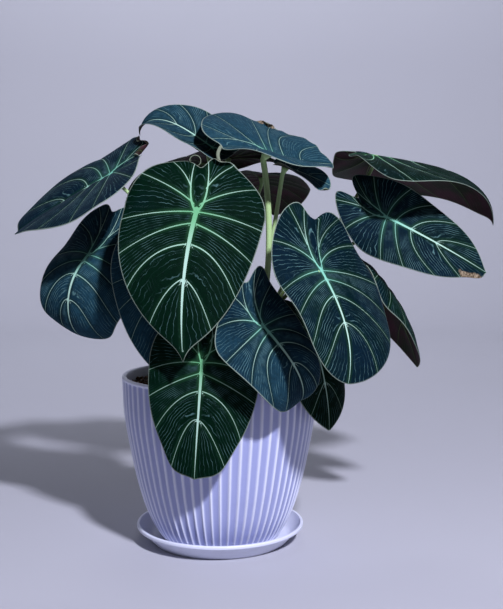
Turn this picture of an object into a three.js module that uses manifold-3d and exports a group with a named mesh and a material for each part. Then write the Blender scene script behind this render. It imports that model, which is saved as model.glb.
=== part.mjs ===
// Potted black velvet alocasia: saucer, ribbed pot, soil, sixteen stems and sixteen velvety leaves.
// Millimetres, +Z up, +Y away from the viewer, origin at the centre of the saucer's underside.
import * as THREE from 'three';
import { mergeVertices } from 'three/addons/utils/BufferGeometryUtils.js';
import Module from 'manifold-3d';

const wasm = await Module();
wasm.setup();

const RAD = Math.PI / 180;
const GAP = 0.3;

// Saucer
const SAUCER_FOOT_R = 53.5;
const SAUCER_RIM_R = 65.5;
const SAUCER_H = 14;
const SAUCER_FLOOR = 3;
const SAUCER_WALL = 1.8;
const SAUCER_SIDES = 72;

// Pot
const POT_BASE_Z = SAUCER_FLOOR + GAP;
const POT_RIM_Z = 131;
const POT_PROFILE = [[POT_BASE_Z, 45], [7, 48], [24, 57], [42, 63], [72, 69.7], [98, 74.1],
  [POT_RIM_Z, 76]];
const POT_WALL = 2.2;
const POT_FLOOR = 3;
const RIB_COUNT = 60;
const RIB_DEPTH = 1.1;
const RIB_HALF_WIDTH = 0.12;
const POT_INNER_SIDES = 60;
const DRAIN_COUNT = 6;
const DRAIN_R = 4;
const DRAIN_RING_R = 26;

// Soil
const SOIL_Z = 123.5;
const SOIL_MOUND = 3;
const SOIL_LUMP = 0.9;
const SOIL_SIDES = 36;
const HOLE_DEPTH = 20;
const HOLE_SIDES = 10;

// Leaves
const BLADE_THICKNESS = 0.9;
const LEAF_SPOKES = 28;
const LEAF_RINGS = [0.3, 0.56, 0.79, 1];
const GAUSS = [[-0.861136, 0.347855], [-0.339981, 0.652145], [0.339981, 0.652145], [0.861136, 0.347855]];

// Stems
const STEM_SIDES = 7;
const STEM_STEPS = 14;
const SHEATH_LENGTH = 26;

const COLOURS = {
  plastic: 0xe4e4e8, soil: 0x2b2019, leaf: 0x0c2a27, stem: 0x7f9a4c, stemDark: 0x5f7038,
};

// Each leaf: hub position, compass heading of the tip (0 towards the viewer, 90 to the right),
// dip of the midrib below level, roll about the midrib, spin in the blade's own plane, tip length,
// droop of the midrib towards the tip, and the fold and curl of its left and right halves in degrees.
// Sway bends the midrib sideways, skew shifts the back lobes and twist turns the tip about the midrib.
const LEAVES = {
  a: { hub: [-82, -16, 285], head: -100, dip: 27, roll: -34, spin: 2.5, len: 82, droop: 1, backDroop: -9,
    fold: [-15, -22], curl: [44, 13], width: [0.95, 1.48], back: [0.47, 0.37], side: 0.61,
    tip: 0.08, sway: 9, skew: 0.34 },
  b: { hub: [-98.5, -20, 225], head: -30, dip: 42, roll: -12, spin: -10, len: 80, droop: 125, bend: 1.4,
    backDroop: -25, curl: [30, 20], width: [0.62, 1.1], back: [0.62, 0.62], side: 0.6, tip: 0.12,
    sway: 26 },
  c: { hub: [-16, -80, 256.5], head: 0, dip: 72, spin: -5.5, len: 98, droop: 8, backDroop: 32,
    curl: [8, 14], width: [0.97, 0.93], bow: -0.04 },
  d: { hub: [-37.5, -48, 218], head: 8, dip: 66, spin: 4, len: 90, curl: [25, 30], width: [0.88, 0.76] },
  e: { hub: [-12.5, -84, 151.5], head: -6, dip: 82, spin: -3.5, len: 81, droop: 6, curl: [15, 15],
    width: [0.9, 0.97], tip: 0.12 },
  f: { hub: [31, -72, 176], head: 64, dip: 51, roll: 31, spin: 6, len: 69, droop: 80, bend: 2.05,
    backDroop: -45, fold: [-3, -18], curl: [-11, 47], width: [1.24, 0.7], back: [0.55, 0.61],
    side: 0.59, tip: 0.04, sway: 6, skew: 0.53 },
  g: { hub: [71, -85, 216], head: 42, dip: 53, roll: -3, spin: 1.5, len: 85, droop: 33, bend: 2.1,
    backDroop: -47, fold: [20, 4], curl: [-12, 7], width: [0.8, 1.52], back: [0.61, 0.56],
    side: 0.546, tip: 0.04, sway: -22, skew: -0.07 },
  h: { hub: [126.5, -20, 253], head: 84, dip: 25, roll: 59, spin: -1, len: 85, droop: 4, backDroop: 6,
    curl: [32, -20], width: [0.69, 0.63], back: [0.55, 0.46], side: 0.56, notch: 0.2,
    notchWidth: 12, sway: -5, skew: 0.6 },
  i: { hub: [123, 16, 302], head: 108, dip: 10, roll: -7, spin: -12, len: 119, droop: 77, bend: 3.1,
    backDroop: 8, fold: [22.5, 15], curl: [3, -15], width: [1.13, 1.05], back: [0.21, 0.27],
    side: 0.564, tip: 0.096, sway: 7, skew: -0.8 },
  j: { hub: [-5.5, -12, 305.5], head: -96, dip: -36, roll: -27, len: 64, droop: 99, bend: 3.5,
    backDroop: -60, fold: [-34, -1], curl: [13, -25], width: [0.77, 1.17], back: [0.36, 0.36],
    side: 0.494, tip: 0.25, sway: 16 },
  k: { hub: [35.5, -38, 300], head: 119, dip: 12, roll: 46, spin: -3.5, len: 60.5, droop: -5,
    backDroop: 20, fold: [-40, 4], curl: [19, 18], width: [0.77, 1.38], back: [0.62, 0.82],
    side: 0.816, tip: 0.155, sway: 19, wave: 0.03 },
  l: { hub: [127, 12, 201.5], head: 112, dip: 50, len: 80, curl: [60, 20] },
  m: { hub: [69.5, -30, 164], head: 47, dip: 64, len: 73 },
  n: { hub: [34, 30, 285], head: 168, dip: 12, len: 74, width: [1, 0.7] },
  o: { hub: [50, -19, 291], head: 104, dip: 18, roll: 18, spin: 1.5, len: 39.5, droop: 7,
    fold: [-7, -15], curl: [-4, 19], width: [1.12, 0.76], back: [0.29, 0.25], tip: 0.06, twist: 34 },
  p: { hub: [7, 46, 301], head: -97, dip: 8, roll: 18, len: 88, droop: 22, width: [0.42, 0.9] },
};
const LEAF_DEFAULTS = {
  roll: 0, spin: 0, droop: 25, bend: 1, backDroop: 15, fold: [0, 0], curl: [20, 20], width: [1, 1],
  back: [0.48, 0.48], side: 0.53, tip: 0.22, notch: 0.1, notchWidth: 9, sway: 0, bow: 0, skew: 0, twist: 0,
  wave: 0.02,
};
const WAVES = 5;

// Each stem: foot in the soil, first and second guide points of its curve, radii at foot, middle and hub.
const STEMS = {
  a: { foot: [-22, 2], guides: [[-24, 0, 238], [-66, -6, 269]], radii: [3, 1.7, 1.3] },
  b: { foot: [-20, -9], guides: [[-28, -6, 210], [-78, 6, 236]], radii: [2.8, 1.5, 1.2] },
  c: { foot: [-6, -14], guides: [[12, -12, 210], [8, -52, 258]], radii: [3, 1.8, 1.4] },
  d: { foot: [-14, -20], guides: [[-18, -16, 180], [-34, -24, 224]], radii: [2.8, 1.5, 1.2] },
  e: { foot: [-4, -25], guides: [[2, -34, 148], [2, -66, 156]], radii: [2.6, 1.4, 1.2] },
  f: { foot: [8, -22], guides: [[10, -24, 160], [20, -54, 188]], radii: [2.6, 1.5, 1.2] },
  g: { foot: [24, -3], guides: [[40, -10, 198], [64, -44, 240]], radii: [2.9, 1.6, 1.3] },
  h: { foot: [15, 3], guides: [[34, 4, 198], [98, 0, 225]], radii: [3, 1.7, 1.3] },
  i: { foot: [13, 13], guides: [[34, 18, 190], [94, 14, 233]], radii: [3, 1.7, 1.3] },
  j: { foot: [-7, -2], guides: [[-8, -2, 200], [-2, -22, 270]], radii: [2.9, 1.7, 1.4] },
  k: { foot: [9, -9], guides: [[44, -30, 170], [38, -40, 260]], radii: [3.6, 2.3, 2.2] },
  l: { foot: [22, 18], guides: [[30, 24, 170], [104, 26, 196]], radii: [2.6, 1.5, 1.2] },
  m: { foot: [22, 8], guides: [[34, 6, 146], [56, -8, 172]], radii: [2.6, 1.4, 1.2] },
  n: { foot: [4, 12], guides: [[6, 16, 200], [26, 24, 258]], radii: [2.8, 1.6, 1.3] },
  o: { foot: [3, 2], guides: [[34, -6, 168], [40, -14, 238]], radii: [2.8, 1.75, 1.6] },
  p: { foot: [-8, 10], guides: [[-14, 16, 210], [-4, 38, 262]], radii: [2.8, 1.6, 1.3] },
};

const leafOf = (key) => ({ ...LEAF_DEFAULTS, ...LEAVES[key] });

// Margin distance from the hub, as a share of the tip length, at an angle from the midrib.
function outline(leaf, phi) {
  const back = phi < 0 ? leaf.back[0] : leaf.back[1];
  const reach = Math.cos(phi) >= 0 ? 1 - leaf.tip : back;
  const oval = 1 / Math.hypot(Math.cos(phi) / reach, Math.sin(phi) / leaf.side);
  const point = leaf.tip * Math.exp(-Math.abs(phi) / (22 * RAD));
  const cleft = leaf.notch * Math.exp(-(((Math.PI - Math.abs(phi)) / (leaf.notchWidth * RAD)) ** 2));
  return oval + point - cleft;
}

// A point of the unplaced blade, from a share of the margin distance and an angle off the midrib.
function bladePoint(leaf, share, phi) {
  const radius = share * outline(leaf, phi);
  const x = radius * Math.cos(phi);
  const y = radius * Math.sin(phi);
  const side = y < 0 ? 0 : 1;
  const forward = x >= 0;
  const along = Math.abs(x) * leaf.len;
  const reach = leaf.len * (forward ? 1 : Math.max(...leaf.back));
  const turn = (forward ? leaf.droop : leaf.backDroop) * RAD;
  const power = forward ? leaf.bend : 1;
  const t = along / reach;
  let ahead = 0;
  let fall = 0;
  for (const [node, weight] of GAUSS) {
    const angle = turn * (t * (node + 1) / 2) ** power;
    ahead += weight / 2 * Math.cos(angle);
    fall += weight / 2 * Math.sin(angle);
  }
  const direction = forward ? 1 : -1;
  const lean = direction * turn * t ** power;
  const across = Math.abs(y) * leaf.len * leaf.width[side];
  const curl = (leaf.curl[side] || 1e-6) * RAD / (leaf.side * leaf.len);
  const flat = Math.sin(curl * across) / curl;
  const drop = (1 - Math.cos(curl * across)) / curl;
  const fold = leaf.fold[side] * RAD;
  const level = (Math.cos(fold) * flat - Math.sin(fold) * drop) * (side ? 1 : -1);
  const sunk = Math.sin(fold) * flat + Math.cos(fold) * drop;
  const twist = leaf.twist * RAD * x;
  const out = level * Math.cos(twist) + sunk * Math.sin(twist);
  const wave = leaf.wave * leaf.len * share ** 3 * Math.sin(WAVES * phi);
  const up = level * Math.sin(twist) - sunk * Math.cos(twist) + wave;
  const px = direction * along * ahead + Math.sin(lean) * up;
  const pz = -along * fall + Math.cos(lean) * up;
  const sway = leaf.sway * RAD * Math.abs(x) / 2;
  const bow = leaf.len * (forward ? leaf.bow * 4 * x * (1 - x) : leaf.skew * x * x);
  return [px * Math.cos(sway) - out * Math.sin(sway), px * Math.sin(sway) + out * Math.cos(sway) + bow, pz];
}

// The blade's own axes: along the midrib, across it to the leaf's right, and up out of its face.
function bladeAxes(leaf) {
  const head = leaf.head * RAD;
  const dip = leaf.dip * RAD;
  const level = new THREE.Vector3(Math.cos(head), Math.sin(head), 0);
  const ahead = new THREE.Vector3(Math.sin(head), -Math.cos(head), 0);
  const along = ahead.multiplyScalar(Math.cos(dip)).setZ(-Math.sin(dip));
  const rise = new THREE.Vector3().crossVectors(along, level);
  const turned = (from, to, degrees) => (
    from.clone().multiplyScalar(Math.cos(degrees * RAD)).addScaledVector(to, Math.sin(degrees * RAD)));
  const across = turned(level, rise, leaf.roll);
  const up = turned(rise, level, -leaf.roll);
  const t = turned(along, across, leaf.spin);
  const b = turned(across, along, -leaf.spin);
  return { t, b, up, hub: new THREE.Vector3(...leaf.hub) };
}

function placedPoint(leaf, axes, share, phi) {
  const [x, y, z] = bladePoint(leaf, share, phi);
  return axes.hub.clone().addScaledVector(axes.t, x).addScaledVector(axes.b, y).addScaledVector(axes.up, z);
}

function solid(positions, triangles) {
  const geometry = new THREE.BufferGeometry();
  geometry.setAttribute('position', new THREE.Float32BufferAttribute(positions.flat(), 3));
  geometry.setIndex(triangles.flat());
  return geometry;
}

// A thin blade: the same triangles on both faces, half a thickness to each side, joined by a flat rim.
function bladeGeometry(key) {
  const leaf = leafOf(key);
  const axes = bladeAxes(leaf);
  const spokes = Array.from({ length: LEAF_SPOKES }, (_, k) => {
    const even = -Math.PI + 2 * Math.PI * k / LEAF_SPOKES;
    return even - 0.18 * Math.sin(2 * even);
  });
  const middle = [placedPoint(leaf, axes, 0, 0)];
  for (const share of LEAF_RINGS) {
    for (const phi of spokes) middle.push(placedPoint(leaf, axes, share, phi));
  }
  const faces = [];
  const at = (ring, k) => 1 + ring * LEAF_SPOKES + (k % LEAF_SPOKES);
  for (let k = 0; k < LEAF_SPOKES; k += 1) {
    faces.push([0, at(0, k), at(0, k + 1)]);
    for (let ring = 0; ring + 1 < LEAF_RINGS.length; ring += 1) {
      faces.push([at(ring, k), at(ring + 1, k), at(ring + 1, k + 1)]);
      faces.push([at(ring, k), at(ring + 1, k + 1), at(ring, k + 1)]);
    }
  }
  const normals = middle.map(() => new THREE.Vector3());
  for (const [a, b, c] of faces) {
    const normal = middle[b].clone().sub(middle[a]).cross(middle[c].clone().sub(middle[a])).normalize();
    for (const v of [a, b, c]) normals[v].add(normal);
  }
  const half = BLADE_THICKNESS / 2;
  normals.forEach((normal) => normal.normalize());
  const offset = (sign) => (
    middle.map((p, v) => p.clone().addScaledVector(normals[v], sign * half).toArray()));
  const total = middle.length;
  const last = LEAF_RINGS.length - 1;
  const triangles = [...faces, ...faces.map(([a, b, c]) => [a + total, c + total, b + total])];
  for (let k = 0; k < LEAF_SPOKES; k += 1) {
    const [a, b] = [at(last, k), at(last, k + 1)];
    triangles.push([b, a, a + total], [b, a + total, b + total]);
  }
  return solid([...offset(1), ...offset(-1)], triangles);
}

// A stem: a smooth curve from the soil hole to just under the hub, round in section, with a sheathed foot.
function stemCurve(key) {
  const leaf = leafOf(key);
  const { up, hub } = bladeAxes(leaf);
  const { foot, guides } = STEMS[key];
  const start = new THREE.Vector3(foot[0], foot[1], SOIL_Z - HOLE_DEPTH + 2);
  const ground = new THREE.Vector3(foot[0], foot[1], SOIL_Z + 6);
  const end = hub.clone().addScaledVector(up, -(BLADE_THICKNESS / 2 + GAP + 0.3));
  const under = hub.clone().addScaledVector(up, -7);
  const rise = new THREE.CubicBezierCurve3(ground, ...guides.map((g) => new THREE.Vector3(...g)), under);
  return { start, ground, rise, end };
}

function stemGeometry(key) {
  const { start, ground, rise, end } = stemCurve(key);
  const [foot, middle, top] = STEMS[key].radii;
  const points = [start, ...rise.getSpacedPoints(STEM_STEPS), end];
  const lengths = [0];
  points.slice(1).forEach((p, i) => lengths.push(lengths[i] + p.distanceTo(points[i])));
  const total = lengths[lengths.length - 1];
  const sheathEnd = start.distanceTo(ground) + SHEATH_LENGTH;
  const positions = [];
  let side = new THREE.Vector3(1, 0, 0);
  points.forEach((p, i) => {
    const before = points[Math.max(i - 1, 0)];
    const after = points[Math.min(i + 1, points.length - 1)];
    const tangent = after.clone().sub(before).normalize();
    side = side.addScaledVector(tangent, -side.dot(tangent)).normalize();
    const other = new THREE.Vector3().crossVectors(tangent, side);
    const sheath = Math.max(0, 1 - lengths[i] / sheathEnd);
    const radius = middle + (foot - middle) * sheath ** 0.6 + (top - middle) * (lengths[i] / total) ** 2;
    for (let k = 0; k < STEM_SIDES; k += 1) {
      const a = 2 * Math.PI * k / STEM_SIDES;
      const spoke = side.clone().multiplyScalar(Math.cos(a)).addScaledVector(other, Math.sin(a));
      positions.push(p.clone().addScaledVector(spoke, radius).toArray());
    }
  });
  const triangles = [];
  const at = (i, k) => i * STEM_SIDES + (k % STEM_SIDES);
  for (let i = 0; i + 1 < points.length; i += 1) {
    for (let k = 0; k < STEM_SIDES; k += 1) {
      triangles.push([at(i, k), at(i, k + 1), at(i + 1, k + 1)]);
      triangles.push([at(i, k), at(i + 1, k + 1), at(i + 1, k)]);
    }
  }
  for (let k = 1; k + 1 < STEM_SIDES; k += 1) {
    triangles.push([at(0, 0), at(0, k + 1), at(0, k)]);
    triangles.push([at(points.length - 1, 0), at(points.length - 1, k), at(points.length - 1, k + 1)]);
  }
  return solid(positions, triangles);
}

function profileRadius(z) {
  const i = Math.max(1, POT_PROFILE.findIndex(([level]) => level >= z));
  const [[z0, r0], [z1, r1]] = [POT_PROFILE[i - 1], POT_PROFILE[i]];
  return r0 + (r1 - r0) * (z - z0) / (z1 - z0);
}

const potInnerRadius = (z) => profileRadius(z) - RIB_DEPTH - POT_WALL;

// The pot's outer wall carries narrow upright ribs with shallow flutes between them.
function potOuterRings() {
  const phases = [-RIB_HALF_WIDTH, 0, RIB_HALF_WIDTH, 0.5];
  const depths = [0.7, 0, 0.7, 1];
  return POT_PROFILE.map(([z, r], level) => {
    const fade = level === 0 ? 0 : 1;
    const ring = [];
    for (let rib = 0; rib < RIB_COUNT; rib += 1) {
      phases.forEach((phase, k) => {
        const a = 2 * Math.PI * (rib + phase) / RIB_COUNT;
        const radius = r - RIB_DEPTH * depths[k] * fade;
        ring.push([radius * Math.cos(a), radius * Math.sin(a), z]);
      });
    }
    return ring;
  });
}

function evenRing(radius, z, sides, turn = 0) {
  return Array.from({ length: sides }, (_, k) => {
    const a = 2 * Math.PI * (k + turn) / sides;
    return [radius * Math.cos(a), radius * Math.sin(a), z];
  });
}

// Joins rings of points one after the other. Rings may have different counts: each edge of one ring
// goes to the nearest point of the other.
function ringedSolid(rings) {
  const positions = rings.flat();
  const starts = rings.map((_, i) => rings.slice(0, i).reduce((sum, ring) => sum + ring.length, 0));
  const angle = ([x, y]) => (Math.atan2(y, x) + 2 * Math.PI + 1e-4) % (2 * Math.PI);
  const triangles = [];
  for (let i = 0; i + 1 < rings.length; i += 1) {
    const [low, high] = [i, i + 1].map((r) => (
      rings[r].map((p, k) => [angle(p), starts[r] + k]).sort((p, q) => p[0] - q[0])));
    const turnOf = (list, k) => list[k % list.length][0] + (k >= list.length ? 2 * Math.PI : 0);
    let a = 0;
    let b = 0;
    while (a < low.length || b < high.length) {
      const stepLow = b >= high.length || (a < low.length
        && turnOf(low, a + 1) + turnOf(low, a) <= turnOf(high, b + 1) + turnOf(high, b));
      if (stepLow) {
        triangles.push([low[a % low.length][1], low[(a + 1) % low.length][1], high[b % high.length][1]]);
        a += 1;
      } else {
        triangles.push([low[a % low.length][1], high[(b + 1) % high.length][1], high[b % high.length][1]]);
        b += 1;
      }
    }
  }
  const cap = (index, outward) => {
    const ring = rings[index];
    const centre = positions.length;
    positions.push([0, 0, ring[0][2]]);
    ring.forEach((_, k) => {
      const [p, q] = [starts[index] + k, starts[index] + (k + 1) % ring.length];
      triangles.push(outward ? [centre, p, q] : [centre, q, p]);
    });
  };
  cap(0, false);
  cap(rings.length - 1, true);
  return solid(positions, triangles);
}

function toManifold(geometry) {
  const clean = geometry.clone();
  clean.deleteAttribute('normal');
  clean.deleteAttribute('uv');
  const merged = mergeVertices(clean, 1e-4);
  return new wasm.Manifold(new wasm.Mesh({
    numProp: 3, vertProperties: new Float32Array(merged.attributes.position.array),
    triVerts: new Uint32Array(merged.index.array),
  }));
}

function fromManifold(manifold) {
  const mesh = manifold.getMesh();
  const geometry = new THREE.BufferGeometry();
  geometry.setAttribute('position', new THREE.Float32BufferAttribute(mesh.vertProperties, 3));
  geometry.setIndex(Array.from(mesh.triVerts));
  return geometry;
}

function drill(geometry, holes) {
  let body = toManifold(geometry);
  for (const { x, y, low, high, radius, sides } of holes) {
    const tool = new THREE.CylinderGeometry(radius, radius, high - low, sides).rotateX(Math.PI / 2);
    tool.translate(x, y, (low + high) / 2);
    body = body.subtract(toManifold(tool));
  }
  return fromManifold(body);
}

function potGeometry() {
  const floorTop = POT_BASE_Z + POT_FLOOR;
  const levels = [POT_RIM_Z, 98, 60, 24, floorTop];
  const inner = levels.map((z) => evenRing(potInnerRadius(z), z, POT_INNER_SIDES, 0.5));
  const base = evenRing(POT_PROFILE[0][1] - 3, POT_BASE_Z, POT_INNER_SIDES, 0.5);
  const drains = Array.from({ length: DRAIN_COUNT }, (_, k) => {
    const a = 2 * Math.PI * k / DRAIN_COUNT;
    const [x, y] = [DRAIN_RING_R * Math.cos(a), DRAIN_RING_R * Math.sin(a)];
    return { x, y, low: POT_BASE_Z - 2, high: floorTop + 2, radius: DRAIN_R, sides: 12 };
  });
  return drill(ringedSolid([base, ...potOuterRings(), ...inner]), drains);
}

function saucerGeometry() {
  const inner = SAUCER_RIM_R - SAUCER_WALL;
  const rings = [
    [SAUCER_FOOT_R, 0], [SAUCER_RIM_R - 1, SAUCER_H - 1.4], [SAUCER_RIM_R, SAUCER_H - 0.6],
    [SAUCER_RIM_R, SAUCER_H], [inner, SAUCER_H], [SAUCER_FOOT_R + 1.2, SAUCER_FLOOR],
  ];
  return ringedSolid(rings.map(([r, z]) => evenRing(r, z, SAUCER_SIDES)));
}

// Potting mix: a shallow uneven mound inside the pot, with one blind hole for each stem.
function soilGeometry() {
  const floor = POT_BASE_Z + POT_FLOOR + GAP;
  const inside = (z) => potInnerRadius(z) - 2 * GAP;
  const top = (r, k) => {
    const lump = r < 34 ? 0 : Math.sin(1.9 * k + 0.35 * r) + Math.cos(0.8 * k - 0.27 * r);
    return SOIL_Z + SOIL_MOUND * Math.exp(-((r / 34) ** 2)) + SOIL_LUMP * lump * (r > 66 ? 0.3 : 0.6);
  };
  const edge = inside(SOIL_Z);
  const surface = [edge, 58, 46, 34].map((r) => (
    evenRing(r, 0, SOIL_SIDES).map(([x, y], k) => [x, y, top(r, k)])));
  const rings = [evenRing(inside(floor), floor, SOIL_SIDES), evenRing(inside(60), 60, SOIL_SIDES),
    ...surface, evenRing(20, top(20, 0), SOIL_SIDES)];
  const holes = Object.values(STEMS).map(({ foot, radii }) => ({
    x: foot[0], y: foot[1], low: SOIL_Z - HOLE_DEPTH, high: SOIL_Z + 12,
    radius: radii[0] + 0.5, sides: HOLE_SIDES,
  }));
  return drill(ringedSolid(rings), holes);
}

const group = new THREE.Group();
group.name = 'potted_black_velvet_alocasia';

function add(name, geometry, color, roughness) {
  const mesh = new THREE.Mesh(geometry, new THREE.MeshStandardMaterial({ color, roughness, metalness: 0 }));
  mesh.name = name;
  group.add(mesh);
}

add('saucer', saucerGeometry(), COLOURS.plastic, 0.45);
add('pot', potGeometry(), COLOURS.plastic, 0.45);
add('soil', soilGeometry(), COLOURS.soil, 0.95);
for (const key of Object.keys(LEAVES)) {
  add(`stem_${key}`, stemGeometry(key), key === 'h' || key === 'i' ? COLOURS.stemDark : COLOURS.stem, 0.5);
  add(`blade_${key}`, bladeGeometry(key), COLOURS.leaf, 0.6);
}

export default group;
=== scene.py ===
"""Looks of a potted black velvet alocasia: leaves, stems, soil, ribbed pot, saucer and stage."""
import math

import bpy
import numpy as np
from bpy.props import FloatProperty, FloatVectorProperty, IntProperty, PointerProperty
from bpy.types import Operator, Panel, PropertyGroup
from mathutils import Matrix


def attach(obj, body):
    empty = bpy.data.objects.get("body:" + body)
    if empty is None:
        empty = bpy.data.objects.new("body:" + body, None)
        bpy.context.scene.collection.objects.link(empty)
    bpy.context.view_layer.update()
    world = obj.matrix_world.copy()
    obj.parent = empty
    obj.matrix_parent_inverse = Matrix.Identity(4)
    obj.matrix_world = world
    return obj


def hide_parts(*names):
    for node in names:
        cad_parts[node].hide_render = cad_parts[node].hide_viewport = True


bl_info = {
    "name": "Potted velvet alocasia",
    "version": (1, 0, 0),
    "blender": (4, 5, 0),
    "location": "View3D > Sidebar > Alocasia",
    "description": "Makes the leaves, stems, soil, ribbed pot and saucer of a potted velvet-leaved plant",
    "category": "Add Mesh",
}

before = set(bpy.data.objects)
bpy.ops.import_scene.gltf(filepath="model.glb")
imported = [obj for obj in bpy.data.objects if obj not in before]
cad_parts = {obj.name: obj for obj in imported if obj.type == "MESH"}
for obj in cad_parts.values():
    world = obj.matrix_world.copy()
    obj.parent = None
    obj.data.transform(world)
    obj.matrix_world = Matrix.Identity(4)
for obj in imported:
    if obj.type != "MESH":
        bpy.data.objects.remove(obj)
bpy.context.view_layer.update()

MM = 0.001
TAU = 2 * math.pi

# Pot and saucer, in millimetres. The pot's profile gives levels and radii.
GAP = 0.3
SAUCER_FOOT_R, SAUCER_RIM_R, SAUCER_H, SAUCER_FLOOR, SAUCER_WALL = 53.5, 65.5, 14, 3, 1.8
POT_PROFILE = ((3.3, 45), (7, 48), (24, 57), (42, 63), (72, 69.7), (98, 74.1), (131, 76))
(FOOT_Z, FOOT_R), (RIM_Z, RIM_R) = POT_PROFILE[0], POT_PROFILE[-1]
POT_WALL, POT_FLOOR, RIM_ROUND = 2.2, 3, 1.3
DRAIN_COUNT, DRAIN_R, DRAIN_RING_R = 6, 4, 26
# Points across one rib and the flute beside it, in shares of a rib's pitch from the rib's middle
RIB_POINTS = (-0.15, -0.09, -0.045, 0, 0.045, 0.09, 0.15, 0.25, 0.38, 0.5, 0.62, 0.75)

# Soil, in millimetres. It keeps clear of ribs that are sunk into the wall.
SOIL_Z, SOIL_MOUND, MOUND_WIDTH, SOIL_CLEARANCE = 123.5, 3, 34, 1.1
CLOD_HEIGHT, CLOD_LENGTHS, CLOD_WAVES = 3, (9, 2.2), 36

# Leaves: hub position in millimetres; turns of the tip's compass heading (0 towards the viewer, 90 to the
# right), of the midrib's dip below level, of the roll about it and of the spin in the blade's own plane; tip
# length; droop of the midrib, fold and curl of the left and right halves, all angles in degrees. Rolls are
# curled bits of the margin: angle from the tip, spread, width of the strip in millimetres and turn. Lumps
# widen the outline: angle, spread and share of the tip length. Dry spots: angle, spread and depth in
# millimetres. Tone goes from green by blue to silver, vein scales the widths of the main veins, and lines
# the number of fine ones. For a, f, g, h, i, j, k and o, the turns, lengths, bends, folds, curls, widths,
# lobes, sway and skew are mostly rounded results of a scratch program that fitted them to the photo.
# Tone is partly each leaf's own tint and partly painted light. The blue and silver it brings paint the sheen
# of leaves that face up to the light. The high tones of b, d and o paint light into leaves that lie in the
# shade of others. The low tone of e makes it darker for the lesser light it gets.
LEAVES = {
    "a": dict(hub=(-82, -16, 285), turns=(-100, 27, -34, 2.5), len=82, droop=1, backDroop=-9, fold=(-15, -22),
        curl=(44, 13), width=(0.95, 1.48), back=(0.47, 0.37), side=0.61, tip=0.08, sway=9, skew=0.34,
        rolls=((-150, 11, 5, 210), (-171, 7, 6, 260)), lumps=((-10, 7, 0.04), (10, 7, 0.04)),
        dry=((-158, 16, 1.6),), vein=0.6),
    "b": dict(hub=(-98.5, -20, 225), turns=(-30, 42, -12, -10), len=80, droop=125, bend=1.4, backDroop=-25,
        curl=(30, 20), width=(0.62, 1.1), back=(0.62, 0.62), side=0.6, tip=0.12, sway=26,
        lumps=((-38, 13, 0.09), (20, 10, 0.05)), tone=1.6),
    "c": dict(hub=(-16, -80, 256.5), turns=(0, 72, 0, -5.5), len=98, droop=8, backDroop=32, curl=(8, 14),
        width=(0.97, 0.93), bow=-0.04, tone=-0.25, vein=0.9, lines=1, rolls=((161, 12, 6, 190),), drip=0.07),
    "d": dict(hub=(-37.5, -48, 218), turns=(8, 66, 0, 4), len=90, curl=(25, 30), width=(0.88, 0.76),
        tone=2.0),
    "e": dict(hub=(-12.5, -84, 151.5), turns=(-6, 82, 0, -3.5), len=81, droop=6, curl=(15, 15),
        width=(0.9, 0.97), tip=0.12, vein=0.72, tone=-0.5, lumps=((-13, 8, 0.05), (13, 8, 0.05))),
    "f": dict(hub=(31, -72, 176), turns=(64, 51, 31, 6), len=69, droop=80, bend=2.05, backDroop=-45,
        fold=(-3, -18), curl=(-11, 47), width=(1.24, 0.7), back=(0.55, 0.61), side=0.59, tip=0.04, sway=6,
        skew=0.53, vein=0.85, tone=1.3),
    "g": dict(hub=(71, -85, 216), turns=(42, 53, -3, 1.5), len=85, droop=33, bend=2.1, backDroop=-47,
        fold=(20, 4), curl=(-12, 7), width=(0.8, 1.52), back=(0.61, 0.56), side=0.546, tip=0.04, sway=-22,
        skew=-0.07, tone=0.4, rolls=((172, 7, 7, -230),)),
    "h": dict(hub=(126.5, -20, 253), turns=(84, 25, 59, -1), len=85, droop=4, backDroop=6, curl=(32, -20),
        width=(0.69, 0.63), back=(0.55, 0.46), side=0.56, notch=0.2, notchWidth=12, sway=-5, skew=0.6,
        vein=0.6, tone=0.4, lumps=((-6, 5, 0.05),), dry=((-10, 6, 9),)),
    "i": dict(hub=(123, 16, 302), turns=(108, 10, -7, -12), len=119, droop=77, bend=3.1, backDroop=8,
        fold=(22.5, 15), curl=(3, -15), width=(1.13, 1.05), back=(0.21, 0.27), side=0.564, tip=0.096, sway=7,
        skew=-0.8, tone=-0.1, drip=0.05),
    "j": dict(hub=(-5.5, -12, 305.5), turns=(-96, -36, -27, 0), len=64, droop=99, bend=3.5, backDroop=-60,
        fold=(-34, -1), curl=(13, -25), width=(0.77, 1.17), back=(0.36, 0.36), side=0.494, tip=0.25, sway=16,
        drip=0.08, vein=0.6, tone=1.5),
    "k": dict(hub=(35.5, -38, 300), turns=(119, 12, 46, -3.5), len=60.5, droop=-5, backDroop=20,
        fold=(-40, 4), curl=(19, 18), width=(0.77, 1.38), back=(0.62, 0.82), side=0.816, tip=0.155, sway=19,
        wave=0.03, tone=1.9, rolls=((61, 9, 5, 230),), dry=((61, 10, 4),),
        lumps=((46, 3, 0.05), (39, 3, -0.03), (27, 4, 0.04), (17, 3, 0.03), (10, 3, -0.03))),
    "l": dict(hub=(127, 12, 201.5), turns=(112, 50, 0, 0), len=80, curl=(60, 20), tone=0.1, dry=((4, 9, 5),)),
    "m": dict(hub=(69.5, -30, 164), turns=(47, 64, 0, 0), len=73, tone=-0.4),
    "n": dict(hub=(34, 30, 285), turns=(168, 12, 0, 0), len=74, width=(1, 0.7)),
    "o": dict(hub=(50, -19, 291), turns=(104, 18, 18, 1.5), len=39.5, droop=7, fold=(-7, -15), curl=(-4, 19),
        width=(1.12, 0.76), back=(0.29, 0.25), tip=0.06, twist=34, rolls=((-18, 12, 3, 150),), tone=2.4),
    "p": dict(hub=(7, 46, 301), turns=(-97, 8, 18, 0), len=88, droop=22, width=(0.42, 0.9)),
}
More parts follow.
